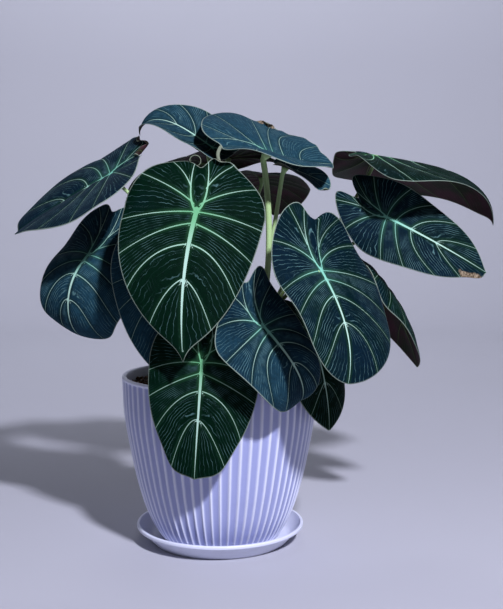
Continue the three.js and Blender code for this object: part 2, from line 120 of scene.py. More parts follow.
LEAF_DEFAULTS = dict(
    droop=25, bend=1, backDroop=15, fold=(0, 0), curl=(20, 20), width=(1, 1), back=(0.48, 0.48), side=0.53,
    tip=0.22, notch=0.1, notchWidth=9, sway=0, bow=0, skew=0, twist=0, wave=0.02, drip=0, rolls=(),
    lumps=(), dry=(), tone=0.6, vein=0.7, lines=1.35)
WAVES = 5
# Widths of a leaf's point and drip and of the change between its back lobes, in degrees round the hub
POINT_SPREAD, DRIP_SPREAD, SEAM_SPREAD = 22, 1.8, math.degrees(0.2)
# Curls that hang from the margin: angle where each leaves it, first and last radius in millimetres and
# angle from the right in the plane that faces the viewer, half thickness and half depth of the ribbon
CURLS = {
    "c": (-168, (4.2, 3.4), (180, -200), (0.4, 1.5)),
    "k": (180, (9, 8), (130, 235), (1.3, 0.6)),
}
# Leaves hidden behind others, made with fewer points
SHADED_LEAVES, SHADED_SHARE = "lmnop", 0.68

# Stems: foot in the soil, guide points of the curve, radii at foot, middle and hub, in millimetres
STEMS = {
    "a": ((-22, 2), ((-24, 0, 238), (-66, -6, 269)), (3, 1.7, 1.3)),
    "b": ((-20, -9), ((-28, -6, 210), (-78, 6, 236)), (2.8, 1.5, 1.2)),
    "c": ((-6, -14), ((12, -12, 210), (8, -52, 258)), (3, 1.8, 1.4)),
    "d": ((-14, -20), ((-18, -16, 180), (-34, -24, 224)), (2.8, 1.5, 1.2)),
    "e": ((-4, -25), ((2, -34, 148), (2, -66, 156)), (2.6, 1.4, 1.2)),
    "f": ((8, -22), ((10, -24, 160), (20, -54, 188)), (2.6, 1.5, 1.2)),
    "g": ((24, -3), ((40, -10, 198), (64, -44, 240)), (2.9, 1.6, 1.3)),
    "h": ((15, 3), ((34, 4, 198), (98, 0, 225)), (3, 1.7, 1.3)),
    "i": ((13, 13), ((34, 18, 190), (94, 14, 233)), (3, 1.7, 1.3)),
    "j": ((-7, -2), ((-8, -2, 200), (-2, -22, 270)), (2.9, 1.7, 1.4)),
    "k": ((9, -9), ((44, -30, 170), (38, -40, 260)), (3.6, 2.3, 2.2)),
    "l": ((22, 18), ((30, 24, 170), (104, 26, 196)), (2.6, 1.5, 1.2)),
    "m": ((22, 8), ((34, 6, 146), (56, -8, 172)), (2.6, 1.4, 1.2)),
    "n": ((4, 12), ((6, 16, 200), (26, 24, 258)), (2.8, 1.6, 1.3)),
    "o": ((3, 2), ((34, -6, 168), (40, -14, 238)), (2.8, 1.75, 1.6)),
    "p": ((-8, 10), ((-14, 16, 210), (-4, 38, 262)), (2.8, 1.6, 1.3)),
}
# The stems of h and i get a darker copy of the stem colour: painted shade.
SHADED_STEMS = "hi"
# A stem starts this deep in the soil, bends from this far above it, turns to its leaf this far below the
# hub and ends this far below it; the sheath at its foot is this long
STEM_DEPTH, STEM_RISE, STEM_TURN, STEM_END, SHEATH_LENGTH = 18, 6, 7, 0.9, 50
# Widening at the leaf in middle radii and its length, depth of the groove and of the sheath's flat sides
FLARE, FLARE_LENGTH, GROOVE, SHEATH_OVAL = 0.9, 7, 0.14, 0.16

# Main veins of one half of a leaf: each starts at the first place and bends through the second, in tip
# lengths along and across the midrib, ends on the margin at an angle from the tip in degrees, and
# narrows from the first half width to the second, in hundredths of the tip length.
MIDRIB_WIDTHS = (1.9, 1.3, 0.75, 0.15)
HALF_VEINS = (
    ((0.49, 0), (0.6, 0.115), 15.5, (0.43, 0.15)),
    ((0.24, 0), (0.355, 0.225), 33.5, (0.5, 0.16)),
    ((0.085, 0), (0.175, 0.25), 55, (0.5, 0.16)),
    ((0, 0), (0.02, 0.26), 79, (0.5, 0.16)),
    ((-0.06, 0.025), (-0.175, 0.195), 121, (0.52, 0.16)),
    ((-0.19, 0.058), (-0.31, 0.125), 152, (0.43, 0.15)),
    ((0, 0), (-0.14, 0.05), 172, (0.95, 0.2)),
)
VEIN_POINTS = 24
# Fine veins between the midrib and the first side vein, between that and the second, and so on
FINE_COUNTS = (5, 7, 8, 8, 7, 6, 5)
# Swell of the blade beside a vein: width of its slope in millimetres, its share on the underside, and the
# height of the underside's ribs for each millimetre of a vein's half width
SWELL_WIDTH, UNDER_SWELL, RIB_HEIGHT = 4.5, 0.85, 0.7

# Lamps: place and aim in metres, size, setting of the power, and colour
LAMPS = {
    "key": ((0.5, -1.26, 1.25), (0, 0, 0.17), 0.12, "key_power", (0.86, 0.87, 1.0)),
    "fill": ((-1.3, -0.8, 0.7), (0, 0, 0.2), 0.8, "fill_power", (0.75, 0.85, 1.0)),
    "rim": ((-0.9, 0.9, 1.1), (0, 0, 0.2), 0.5, "fill_power", (0.85, 0.92, 1.0)),
    "backdrop": ((0, 1.1, 1.7), (0, 2.3, 0.5), 1.0, "backdrop_power", (0.9, 0.93, 1.0)),
}
# Camera: place in metres, tilt below level and turn to the right in degrees, width of the frame and distance
# to it in pixels, and width of the sensor in millimetres
CAMERA_PLACE, CAMERA_TILT, CAMERA_TURN = (0, -0.775, 0.252), 4.93, 1.83
FRAME_WIDTH, FRAME_DISTANCE, SENSOR = 503, 1000, 36


def srgb(red, green, blue):
    """The linear colour of three 0 to 255 screen values."""
    return tuple(c / 12.92 if c <= 0.04045 else ((c + 0.055) / 1.055) ** 2.4
                 for c in (red / 255, green / 255, blue / 255))


def dimmed(share, colour):
    return tuple(share * c for c in colour)


# Settings

def amount(name, description, default, least, most, kind=FloatProperty, **more):
    return kind(name=name, description=description, default=default, min=least, max=most, **more)


def tint(name, description, *screen):
    return FloatVectorProperty(name=name, description=description, default=srgb(*screen), size=3,
                               min=0, max=1, subtype="COLOR")


class LeafSettings(PropertyGroup):
    thickness: amount("Blade thickness", "Thickness at the midrib, in millimetres", 0.8, 0.3, 2)
    quilting: amount("Quilting", "Swell of the blade between its main veins, in millimetres", 1.2, 0, 3)
    arc_spacing: amount("Arc spacing", "Millimetres between the fine arcs along the margin", 2.7, 1, 10)
    spokes: amount("Spokes", "Points round a leaf", 240, 40, 400, IntProperty)
    rings: amount("Rings", "Points from hub to margin", 54, 12, 90, IntProperty)
    # Each leaf's tone picks among green, blue and silver. The blue and silver are partly the velvet's own
    # colour and partly painted sheen and light.
    green: tint("Green velvet", "Colour of the leaf where it faces the light", 0, 22, 11)
    blue: tint("Blue velvet", "Colour of the leaf's bluish areas", 6, 26, 40)
    vein: tint("Main veins", "Colour of the midrib and main veins", 182, 218, 200)
    fine_vein: tint("Fine veins", "Colour of the fine net", 108, 150, 150)
    silver: tint("Silvery velvet", "Colour of the palest leaves", 27, 58, 72)
    under: tint("Underside", "Colour of the leaf's underside", 56, 30, 38)


class StemSettings(PropertyGroup):
    sides: amount("Sides", "Points round a stem", 20, 8, 48, IntProperty)
    steps: amount("Steps", "Points along a stem", 64, 16, 200, IntProperty)
    colour: tint("Stem", "Colour of a fresh stem", 186, 218, 152)
    # Painted shade: the shaded stem colour is a darker copy of the stem colour for the stems of h and i.
    shaded_colour: tint("Shaded stem", "Colour of an older stem", 104, 124, 66)


class PotSettings(PropertyGroup):
    rib_count: amount("Ribs", "Upright ribs round the pot", 60, 12, 90, IntProperty)
    rib_depth: amount("Flute depth", "Depth of the flutes between ribs, in millimetres", 1.25, 0.2, 3)
    colour: tint("Plastic", "Colour of the pot's ribs and of the saucer", 216, 219, 238)
    # The flute colour is painted shade: it darkens the plastic in the flutes between the ribs.
    hollow: tint("Flutes", "Colour in the flutes between the ribs", 150, 156, 200)


class SoilSettings(PropertyGroup):
    crumbs: amount("Crumbs", "Loose bits of bark and mix on the soil", 620, 0, 2000, IntProperty)
    colour: tint("Soil", "Colour of damp potting mix", 54, 40, 31)


class StageSettings(PropertyGroup):
    floor: tint("Floor", "Colour of the plain floor and backdrop", 180, 180, 190)
    key_power: amount("Key light", "Power of the main soft light", 48, 0, 500, unit="POWER")
    fill_power: amount("Fill light", "Power of each of the two weak side lights", 0.8, 0, 500, unit="POWER")
    backdrop_power: amount("Backdrop light", "Power of the light on the backdrop", 18, 0, 500, unit="POWER")


# Materials

def written(operation, turned_round=False):
    """The method of one written operator, whose two terms may be turned round."""
    def method(self, other):
        return self.sum(operation, *((other, self) if turned_round else (self, other)))
    return method


class Tone:
    """A value in a material. Sums written on it add Math nodes."""

    def __init__(self, sheet, socket):
        self.sheet, self.socket = sheet, socket

    def sum(self, operation, *terms):
        return self.sheet.node("ShaderNodeMath", {"operation": operation}, terms)

    __add__ = __radd__ = written("ADD")
    __mul__ = __rmul__ = written("MULTIPLY")
    __sub__, __rsub__ = written("SUBTRACT"), written("SUBTRACT", turned_round=True)
    __truediv__ = written("DIVIDE")

    def __abs__(self):
        return self.sum("ABSOLUTE", self)

    def fraction(self):
        return self.sum("FRACT", self)

    def rise(self, low, high):
        """0 below low, 1 above high, and a smooth step between."""
        return self.sheet.node("ShaderNodeMapRange", {"interpolation_type": "SMOOTHSTEP"},
                               {"Value": self, "From Min": low, "From Max": high})


class Sheet:
    """The node sheet of one material."""

    def __init__(self, name):
        self.material = bpy.data.materials.new(name)
        self.material.use_nodes = True
        self.tree = self.material.node_tree
        self.shader = self.tree.nodes["Principled BSDF"]
        self.place = self.node("ShaderNodeTexCoord", {}, {}, output=3)

    def node(self, kind, settings, inputs, output=0):
        """Adds a node, sets it up, feeds its sockets by order or by name, and gives back one output."""
        made = self.tree.nodes.new(kind)
        for key, value in settings.items():
            setattr(made, key, value)
        for key, value in inputs.items() if isinstance(inputs, dict) else enumerate(inputs):
            self.feed(made.inputs[key], value)
        return Tone(self, made.outputs[output])

    def feed(self, socket, value):
        if isinstance(value, Tone):
            self.tree.links.new(value.socket, socket)
        elif socket.type == "RGBA":
            socket.default_value = (*value, 1)
        else:
            socket.default_value = value

    def attribute(self, name, output=2):
        """A number that the mesh carries at its points, or with output 1 a vector."""
        return self.node("ShaderNodeAttribute", {"attribute_name": name}, {}, output)

    def noise(self, scale, detail=2, roughness=0.5, place=None):
        return self.node("ShaderNodeTexNoise", {}, {"Vector": place or self.place, "Scale": scale,
                                                    "Detail": detail, "Roughness": roughness})

    def stretch(self, vector, scale):
        return self.node("ShaderNodeMapping", {}, {"Vector": vector, "Scale": scale})

    def blend(self, share, first, second):
        """A colour that goes from first to second as share goes from 0 to 1."""
        return self.node("ShaderNodeMix", {"data_type": "RGBA"}, {0: share, 6: first, 7: second}, output=2)

    def coats(self, colour, *coats):
        """A colour with others laid over it in turn, each with its share."""
        for share, coat in coats:
            colour = self.blend(share, colour, coat)
        return colour

    def finish(self, colour, roughness, height=None, depth=0.0, steady=None):
        """Links the varying looks and sets the steady ones on the shader's own sockets."""
        self.feed(self.shader.inputs["Base Color"], colour)
        self.feed(self.shader.inputs["Roughness"], roughness)
        if height is not None:
            bump = self.node("ShaderNodeBump", {}, {"Strength": 1.0, "Distance": depth, "Height": height})
            self.feed(self.shader.inputs["Normal"], bump)
        for key, value in (steady or {}).items():
            self.feed(self.shader.inputs[key], value)
        return self.material


def vein_masks(sheet, spacing):
    """Main vein, halo, fine vein and margin masks from the distances that a leaf carries in millimetres."""
    side = abs(sheet.attribute("vein_side"))
    width = sheet.attribute("vein_width")
    gap = sheet.attribute("vein_gap")
    margin_gap = sheet.attribute("margin_gap")
    main = (1 - (side - width).rise(-0.12, 0.2)) * (1 - gap.rise(1.2, 2.0))
    halo = 1 - gap.rise(0.0, 3.0)
    wobble = sheet.noise(60, detail=3, roughness=0.6)
    patches = sheet.noise(34, detail=3)
    breaks = sheet.noise(150).rise(0.36, 0.62)
    bend = wobble * 1.8 + sheet.noise(190) * 0.7
    fan = abs((sheet.attribute("fine_phase") + bend).fraction() - 0.5) * sheet.attribute("fine_pitch")
    arc = abs((margin_gap / spacing + wobble * 2.4).fraction() - 0.5) * spacing
    rays = (1 - fan.rise(0.04, 0.26)) * patches.rise(0.3, 0.52)
    arcs = (1 - arc.rise(0.04, 0.26)) * (1 - patches.rise(0.26, 0.38)) * (1 - margin_gap.rise(16, 26)) * 0.8
    fine = (rays + arcs) * (breaks * 0.85 + 0.15) * gap.rise(0.6, 3.2)
    return main, halo, fine, 1 - margin_gap.rise(0.3, 0.8)


def velvet_top_material(name, settings, sheen, fine_strength, hub_colour):
    sheet = Sheet(name)
    main, halo, fine, margin = vein_masks(sheet, settings.arc_spacing)
    # Beside the main veins the tone is lowered, and between them it is raised. This is painted shade in the
    # furrows and painted light on the swelling panels. The noise adds random blotches of tint.
    tone = sheet.attribute("tone") + (sheet.noise(28, detail=3) - 0.5) * 1.4 + (0.35 - halo) * 0.7
    mottle = sheet.noise(420, detail=4, roughness=0.65)
    hub = 1 - sheet.attribute("hub_share").rise(0.0, 0.4)
    fresh = sheet.blend(hub * 0.85, settings.vein, hub_colour)
    strong = sheet.attribute("vein_width").rise(0.08, 0.5) * 0.25 + 0.54
    husk = sheet.blend(sheet.noise(700, detail=3).rise(0.3, 0.7), srgb(58, 44, 30), srgb(150, 134, 112))
    dry = sheet.attribute("dry") + (sheet.noise(240, detail=3) - 0.5) * 0.8
    # The green, blue and silver coats follow the tone, which is partly the leaf's own tint and partly painted
    # sheen and light.
    colour = sheet.coats(
        settings.green, (tone.rise(0.0, 1.0), settings.blue), (tone.rise(0.9, 2.1), settings.silver),
        (mottle.rise(0.4, 0.75) * 0.45, srgb(1, 8, 8)), (halo * (hub * 0.3 + 0.08), dimmed(0.3, hub_colour)),
        (fine * fine_strength, settings.fine_vein), (margin * 0.55, srgb(160, 176, 160)),
        (main * strong, fresh), (dry.rise(0.35, 0.6), husk))
    nap = sheet.noise(2600, detail=1)
    height = main * 0.5 + fine * 0.35 + mottle * 0.35 + nap * 0.25
    return sheet.finish(colour, 0.62 - main * 0.14 + mottle * 0.15, height, 0.00032, {
        "Sheen Weight": sheen, "Sheen Roughness": 0.4, "Sheen Tint": srgb(120, 176, 225),
        "Specular IOR Level": 0.03})


def velvet_under_material(settings):
    sheet = Sheet("velvet_leaf_under")
    main, halo, fine, margin = vein_masks(sheet, settings.arc_spacing)
    patch = sheet.noise(45, detail=3)
    grain = sheet.noise(1400, detail=3)
    colour = sheet.coats(
        settings.under, (patch.rise(0.35, 0.65), srgb(26, 34, 18)), (halo * 0.5, srgb(24, 40, 16)),
        (fine * 0.35, srgb(64, 62, 44)), (margin * 0.6, srgb(150, 164, 140)), (main * 0.6, srgb(86, 108, 58)))
    return sheet.finish(colour, 0.55 + grain * 0.15, main * 0.6 + fine * 0.2 + grain * 0.2, 0.0004,
                        {"Specular IOR Level": 0.1})


def stem_material(name, fresh):
    sheet = Sheet(name)
    space = sheet.stretch(sheet.attribute("stem_space", output=1), (7, 7, 0.02))
    streak = sheet.noise(1, detail=4, roughness=0.6, place=space)
    speck = sheet.noise(900)
    along = sheet.attribute("stem_share")
    foot = 1 - along.rise(0.02, 0.2)
    colour = sheet.coats(
        fresh, (streak.rise(0.3, 0.75), dimmed(0.6, fresh)), (foot * 0.6, srgb(176, 160, 116)),
        (along.rise(0.86, 1.0) * 0.7, srgb(168, 206, 140)), (speck.rise(0.6, 0.8) * 0.25, srgb(70, 84, 40)),
        (sheet.attribute("sheath_edge") * 0.8, srgb(120, 92, 60)))
    return sheet.finish(colour, 0.42 + speck * 0.18, streak * 0.6 + speck * 0.2, 0.0003,
                        {"Specular IOR Level": 0.45})


def plastic_material(name, settings):
    sheet = Sheet(name)
    cloud = sheet.noise(14, detail=3)
    grain = sheet.noise(1800)
    scuff = sheet.noise(1, detail=3, place=sheet.stretch(sheet.place, (60, 60, 900))).rise(0.66, 0.78)
    # The flutes take the flute colour by their depth share. This is painted shade in the hollows between the
    # ribs.
    colour = sheet.coats(
        settings.colour, (cloud.rise(0.3, 0.8) * 0.35, dimmed(0.86, settings.colour)),
        (scuff * 0.1, srgb(150, 148, 152)), (sheet.attribute("flute").rise(0.25, 0.95), settings.hollow))
    return sheet.finish(colour, 0.36 + grain * 0.08 + scuff * 0.12, grain, 0.00005,
                        {"Specular IOR Level": 0.5, "Coat Weight": 0.08, "Coat Roughness": 0.3})


def soil_material(name, colour):
    sheet = Sheet(name)
    clods = sheet.noise(260, detail=5, roughness=0.7)
    fleck = sheet.noise(900).rise(0.66, 0.72)
    mix = sheet.coats(dimmed(0.4, colour), (clods.rise(0.3, 0.7), colour), (fleck * 0.5, srgb(150, 128, 100)))
    return sheet.finish(mix, 0.82 + clods * 0.15, clods, 0.0016, {"Specular IOR Level": 0.2})


# Surfaces

def stack_faces(rows, columns, flip=False):
    """Faces of rows of points joined into a closed skin: the rows are rings, the last two points are the
    poles that close the first and the last ring."""
    points = np.arange(rows * columns).reshape(rows, columns)
    beside = np.roll(points, -1, axis=1)
    quads = np.stack([points[:-1], beside[:-1], beside[1:], points[1:]], -1).reshape(-1, 4)
    poles = np.full((columns, 2), points.size) + (0, 1)
    fans = np.concatenate([np.stack([poles[:, 0], beside[0], points[0]], -1),
                           np.stack([poles[:, 1], points[-1], beside[-1]], -1)])
    return (quads[:, ::-1], fans[:, ::-1]) if flip else (quads, fans)


def make_mesh(name, points, faces, values=None):
    """A smooth mesh from points in millimetres and arrays of faces, with values carried at its points."""
    mesh = bpy.data.meshes.new(name)
    mesh.vertices.add(len(points))
    mesh.vertices.foreach_set("co", (points * MM).astype(np.float32).ravel())
    corners = np.concatenate([f.ravel() for f in faces])
    sizes = np.concatenate([np.full(len(f), f.shape[1]) for f in faces])
    mesh.loops.add(len(corners))
    mesh.loops.foreach_set("vertex_index", corners.astype(np.int32))
    mesh.polygons.add(len(sizes))
    mesh.polygons.foreach_set("loop_start", np.concatenate([[0], np.cumsum(sizes)[:-1]]).astype(np.int32))
    mesh.polygons.foreach_set("loop_total", sizes.astype(np.int32))
    mesh.polygons.foreach_set("use_smooth", np.ones(len(sizes), bool))
    for key, numbers in (values or {}).items():
        kind, field = ("FLOAT", "value") if numbers.ndim == 1 else ("FLOAT_VECTOR", "vector")
        layer = mesh.attributes.new(key, kind, "POINT")
        layer.data.foreach_set(field, numbers.astype(np.float32).ravel())
    mesh.update(calc_edges=True)
    mesh.validate()
    return mesh


def ringed_mesh(name, rings, poles, values=None, flip=False):
    """A closed skin of rings of points, with a pole beyond the first and the last of them."""
    points = np.concatenate([rings.reshape(-1, 3), poles])
    return make_mesh(name, points, stack_faces(*rings.shape[:2], flip), values)


def new_object(name, data):
    thing = bpy.data.objects.new(name, data)
    bpy.context.scene.collection.objects.link(thing)
    return thing


def add_piece(name, mesh, materials, slot, *nodes):
    """Puts a finished mesh in the scene as a piece of the plant that stands for the named solids."""
    piece = new_object(name, mesh)
    for material in materials:
        mesh.materials.append(material)
    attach(piece, "root")
    if nodes:
        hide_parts(*nodes)


def leaf_of(key):
    return {**LEAF_DEFAULTS, **LEAVES[key]}


def circle(count):
    """Even angles round a full turn."""
    return TAU * np.arange(count) / count


def unit(vectors):
    return vectors / np.linalg.norm(vectors, axis=-1, keepdims=True)


def spun(first, second, angle):
    """Two parts of a vector, turned by an angle from the first towards the second."""
    return first * np.cos(angle) - second * np.sin(angle), first * np.sin(angle) + second * np.cos(angle)


def polar(radius, angle, *level):
    """Places at a distance and an angle round a centre, and at a level where one is given."""
    return np.stack(np.broadcast_arrays(radius * np.cos(angle), radius * np.sin(angle), *level), -1)


def hump(phi, at, spread):
    """A bell of height 1 round an angle from the tip in degrees, whichever way round is shorter."""
    return np.exp(-(((np.degrees(phi) - at + 180) % 360 - 180) / spread) ** 2)


def leaf_margin(leaf, phi):
    """Distance from hub to margin in tip lengths: half an ellipse before the hub and half behind it, plus
    a point with a fine drip at the tip, less a cleft between the back lobes, plus rounded lumps."""
    seam = 0.5 * hump(phi, 180, SEAM_SPREAD)
    left, right = leaf["back"]
    back = np.where(phi < 0, left + (right - left) * seam, right + (left - right) * seam)
    reach = np.where(np.cos(phi) >= 0, 1 - leaf["tip"], back)
    oval = 1 / np.hypot(np.cos(phi) / reach, np.sin(phi) / leaf["side"])
    from_tip = np.abs(np.degrees(phi))
    point = leaf["tip"] * np.exp(-from_tip / POINT_SPREAD) + leaf["drip"] * np.exp(-from_tip / DRIP_SPREAD)
    lumps = sum(high * hump(phi, at, spread) for at, spread, high in leaf["lumps"])
    return oval + point - leaf["notch"] * hump(phi, 180, leaf["notchWidth"]) + lumps


def leaf_plan(leaf, share, phi):
    """Flat place on the leaf in tip lengths, along and across the midrib."""
    radius = share * leaf_margin(leaf, phi)
    return radius * np.cos(phi), radius * np.sin(phi)


def leaf_middle(leaf, share, phi):
    """The blade's middle surface. The midrib bends down along an arc whose turn grows with a power of the
    length, and sideways with the sway. Each half leaves it folded, curls on a circle, and turns about it
    with the twist. The margin waves. A bow and a skew push the front and the back of the blade sideways."""
    x, y = leaf_plan(leaf, share, phi)
    forward = x >= 0
    size = leaf["len"]
    along = np.abs(x) * size
    turn = np.radians(np.where(forward, leaf["droop"], leaf["backDroop"]))
    power = np.where(forward, leaf["bend"], 1)
    t = along / (size * np.where(forward, 1, max(leaf["back"])))
    nodes, weights = np.polynomial.legendre.leggauss(4)
    angle = turn[..., None] * (t[..., None] * (nodes + 1) / 2) ** power[..., None]
    ahead = (weights / 2 * np.cos(angle)).sum(-1)
    fall = (weights / 2 * np.sin(angle)).sum(-1)
    direction = np.where(forward, 1, -1)
    lean = direction * turn * t ** power
    right = y >= 0

    def of_half(pair):
        return np.where(right, pair[1], pair[0])

    across = np.abs(y) * size * of_half(leaf["width"])
    curl = of_half([math.radians(c or 1e-6) / (leaf["side"] * size) for c in leaf["curl"]])
    flat, drop = np.sin(curl * across) / curl, (1 - np.cos(curl * across)) / curl
    flat, drop = spun(flat, drop, np.radians(of_half(leaf["fold"])))
    out, up = spun(flat * of_half((-1, 1)), -drop, math.radians(leaf["twist"]) * x)
    up = up + leaf["wave"] * size * share ** 3 * np.sin(WAVES * phi)
    front, rise = direction * along * ahead + np.sin(lean) * up, np.cos(lean) * up - along * fall
    front, out = spun(front, out, math.radians(leaf["sway"]) * np.abs(x) / 2)
    bow = size * np.where(forward, leaf["bow"] * 4 * x * (1 - x), leaf["skew"] * x * x)
    return np.array(leaf["hub"]) + np.stack([front, out + bow, rise], -1) @ leaf_axes(leaf)


def leaf_axes(leaf):
    """Unit directions along the midrib, across it to the leaf's right, and out of its upper face."""
    head, dip, roll, spin = (math.radians(turn) for turn in leaf["turns"])
    along = np.array([math.sin(head) * math.cos(dip), -math.cos(head) * math.cos(dip), -math.sin(dip)])
    level = np.array([math.cos(head), math.sin(head), 0])
    up, across = spun(np.cross(along, level), level, roll)
    across, along = spun(across, along, spin)
    return np.array([along, across, up])


def bezier(points, t):
    """A curve from the first point to the last, drawn by the guides between: neighbours are mixed in the
    shares 1 - t and t until one point is left."""
    points, t = np.array(points, float)[:, None], t[:, None]
    while len(points) > 1:
        points = points[:-1] * (1 - t) + points[1:] * t
    return points[0]


def bent_line(points):
    """A curve of the second degree that passes its middle point half way."""
    first, middle, last = (np.array(p, float) for p in points)
    return bezier((first, 2 * middle - (first + last) / 2, last), np.linspace(0, 1, VEIN_POINTS))


def leaf_veins(leaf, chance):
    """Each main vein of a leaf as a line and its half widths, in millimetres on the flat blade, and where
    the last stretch begins that no other vein leaves."""
    size = leaf["len"] / 100 * leaf["vein"]
    even = np.linspace(0, 1, VEIN_POINTS)
    midrib_widths = np.interp(even, np.linspace(0, 1, len(MIDRIB_WIDTHS)), MIDRIB_WIDTHS)
    midrib = bent_line(((-0.02, 0), (0.5, 0), (1, 0))) * leaf["len"]
    veins = [(midrib, midrib_widths * size, VEIN_POINTS // 2)]
    for side, hand in ((0, -1), (1, 1)):
        for start, middle, end_angle, widths in HALF_VEINS:
            angle = hand * math.radians(end_angle + chance.normal(0, 1.5))
            end = leaf_plan(leaf, 1.0, np.float64(angle))
            slip = chance.normal(0, 0.008, 2)
            shape = (leaf["back"][side] / 0.48 if middle[0] < 0 else 1, hand * leaf["side"] / 0.53)
            line = bent_line((np.array(start) * shape, (middle + slip) * shape, end))
            line = line * leaf["len"] * (1, leaf["width"][side])
            tail = VEIN_POINTS // 2 if end_angle > 170 else 0
            veins.append((line, np.interp(even, (0, 1), widths) * size, tail))
    return veins


def vein_distances(flat, veins):
    """For each flat point the main vein whose edge is nearest: signed distance from its line, its half
    width there and the gap to its edge, and the distances from the last stretches of all the veins."""
    gap = np.full(len(flat), np.inf)
    side, width = np.zeros((2, len(flat)))
    pick = np.arange(len(flat))
    distances = []
    for line, widths, tail in veins:
        start, step = line[:-1], np.diff(line, axis=0)
        away = flat[:, None] - start
        t = np.clip((away * step).sum(-1) / (step ** 2).sum(-1), 0, 1)
        offset = away - t[..., None] * step
        half = widths[:-1] + t * np.diff(widths)
        edge = np.hypot(offset[..., 0], offset[..., 1]) - half
        best = edge.argmin(1)
        nearer = edge[pick, best] < gap
        turn = np.sign(step[best, 0] * away[pick, best, 1] - step[best, 1] * away[pick, best, 0])
        gap = np.where(nearer, edge[pick, best], gap)
        width = np.where(nearer, half[pick, best], width)
        side = np.where(nearer, turn * (edge + half)[pick, best], side)
        distances.append((edge + half)[:, tail:].min(1))
    return side, width, gap, np.array(distances)


def fine_lines(flat, distances, lines):
    """Fine veins fan out between each two neighbouring main veins. Their phase is the share of the way
    from one to the next times the number of fine veins between them; their pitch is in millimetres."""
    count = len(HALF_VEINS)
    left = distances[:count + 1]
    right = distances[[0, *range(count + 1, 2 * count + 1)]]
    near = np.where(flat[:, 1] < 0, left, right)
    both = near[:-1] + near[1:]
    best = both.argmin(0)
    point = np.arange(len(flat))
    number = np.round(np.array(FINE_COUNTS) * lines)
    total = both[best, point]
    phase = (np.cumsum(number) - number)[best] + number[best] * near[best, point] / np.maximum(total, 1e-6)
    return phase, total / number[best]


def rolled_edges(rolls, phi, margin, middle, outward, normal):
    """Curls strips of the margin up or down: past its fold line a strip leaves the blade on a circle whose
    whole turn is the roll's, and the strip narrows with the angle from the roll's middle."""
    for at, spread, width, turn in rolls:
        strip = width * hump(phi, at, spread) + 1e-3
        past = np.maximum(strip - margin, 0)[..., None]
        bend = math.radians(turn) * np.clip(strip / width, 0.05, 1)[..., None] / strip[..., None]
        angle = bend * past
        middle = middle + outward * (np.sin(angle) / bend - past) + normal * (1 - np.cos(angle)) / bend
        normal = normal * np.cos(angle) - outward * np.sin(angle)
    return middle, normal


def blade_mesh(key, settings):
    """A closed blade: rings of points from the hub to the margin on the upper face, then back to the hub
    on the lower one. Both faces swell between the main veins, and the lower one carries them as ribs."""
    leaf = leaf_of(key)
    part = SHADED_SHARE if key in SHADED_LEAVES else 1
    spokes, rings = int(settings.spokes * part), int(settings.rings * part)
    even = circle(spokes) - np.pi
    share, phi = np.meshgrid(np.linspace(0, 1, rings + 1), even - 0.18 * np.sin(2 * even), indexing="ij")
    share = share ** 0.9
    middle = leaf_middle(leaf, share, phi)
    outward = np.gradient(middle, axis=0)
    normal = np.cross(outward, np.roll(middle, -1, axis=1) - np.roll(middle, 1, axis=1))
    normal[0] = normal[1].mean(0)

    x, y = leaf_plan(leaf, share, phi)
    flat = np.stack([x, y * np.where(y < 0, *leaf["width"])], -1).reshape(-1, 2) * leaf["len"]
    veins = leaf_veins(leaf, np.random.default_rng(ord(key)))
    side, width, gap, distances = vein_distances(flat, veins)
    phase, pitch = fine_lines(flat, distances, leaf["lines"])
    steps = np.linalg.norm(np.diff(middle, axis=0), axis=-1)
    margin = np.append(steps[::-1].cumsum(0)[::-1], np.zeros((1, spokes)), 0)
    middle, normal = rolled_edges(leaf["rolls"], phi, margin, middle, unit(outward), unit(normal))
    dry = sum(hump(phi, at, spread) * np.exp(-(margin / depth) ** 2)
              for at, spread, depth in leaf["dry"]) + 0 * margin

    slope = (1 - np.exp(-np.maximum(gap, 0) / SWELL_WIDTH)).reshape(share.shape)
    swell = settings.quilting * slope * (1 - share ** 8)
    rib = np.clip(width - np.abs(side) * 0.6, 0, 1.2).reshape(share.shape)
    half = settings.thickness / 2 * (1 - 0.6 * share ** 10)
    level = settings.quilting * 0.5
    upper = middle + normal * (half + swell - level)[..., None]
    lower = middle - normal * (half - swell * UNDER_SWELL + level + RIB_HEIGHT * rib)[..., None]

    def carried(numbers):
        grid = numbers.reshape(share.shape)
        return np.concatenate([grid[1:].ravel(), grid[:0:-1].ravel(), grid[0, :1], grid[0, :1]])

    # The tone carried here is partly the leaf's tint and partly painted light.
    values = dict(vein_side=side, vein_width=width, vein_gap=gap, fine_phase=phase, fine_pitch=pitch,
                  margin_gap=margin, tone=0 * share + leaf["tone"], dry=dry,
                  hub_share=np.hypot(*flat.T) / leaf["len"])
    mesh = ringed_mesh(f"leaf_{key}", np.concatenate([upper[1:], lower[:0:-1]]), [upper[0, 0], lower[0, 0]],
                       {name: carried(numbers) for name, numbers in values.items()}, flip=True)
    under = np.zeros(len(mesh.polygons), np.int32)
    under[rings * spokes:(2 * rings - 1) * spokes] = 1
    under[-spokes:] = 1
    mesh.polygons.foreach_set("material_index", under)
    return mesh


